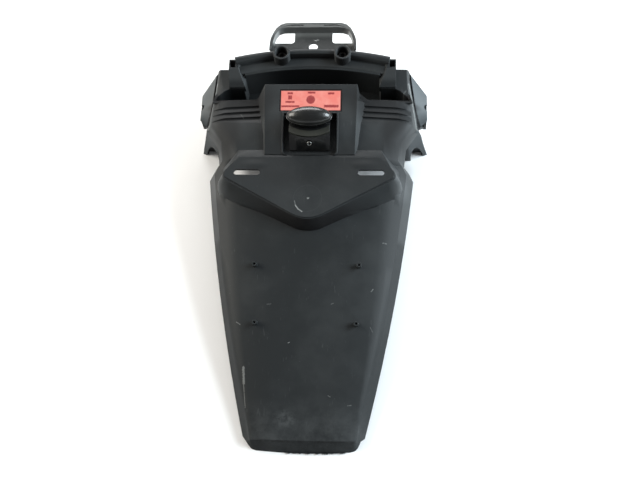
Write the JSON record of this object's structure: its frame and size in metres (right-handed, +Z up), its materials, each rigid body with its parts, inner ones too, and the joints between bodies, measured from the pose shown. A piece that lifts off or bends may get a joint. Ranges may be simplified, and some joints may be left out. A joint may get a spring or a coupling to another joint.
{
  "type": "motorcycle rear fender",
  "caption": "Black moulded motorcycle rear fender with a plate platform, a red reflecting label, a small hooded plate lamp and a bolted tail bracket.",
  "frame": {"origin": "middle of the bounding box at the height of its lowest point, which the tail lip and the feet of both legs share", "axes": "+X across the fender to the right seen from the tail end, +Y along it from the tail lip to the bracket, +Z up through the lamp"},
  "size_m": [0.291, 0.525, 0.118],
  "materials": {
    "black_plastic": "fine grain, worn and dusty",
    "bracket_coat": "satin grey coat",
    "zinc": "dull zinc",
    "dark_bolt": "black oxide",
    "label_sheet": "coral reflecting sheet",
    "lamp_black": "glossy black",
    "collar_grey": "olive grey",
    "hood_shell": "glossy dark grey",
    "lens_clear": "clear, smoky",
    "seal_rubber": "matt",
    "socket_brown": "phenolic",
    "bulb_glass": "clear"
  },
  "bodies": {
    "root": {"fender": "black_plastic", "tail_bracket": "bracket_coat", "bracket_bolts": "dark_bolt", "bracket_washers": "zinc", "bracket_nuts": "zinc", "label": "label_sheet", "lamp_gasket": "seal_rubber", "lamp_body": "lamp_black", "lamp_collar": "collar_grey", "lamp_lens": "lens_clear", "lamp_hood": "hood_shell", "lamp_screw": "zinc", "bulb_socket": "socket_brown", "lamp_bulb": "bulb_glass", "lamp_washers": "zinc", "lamp_nuts": "zinc"}
  },
  "joints": []
}
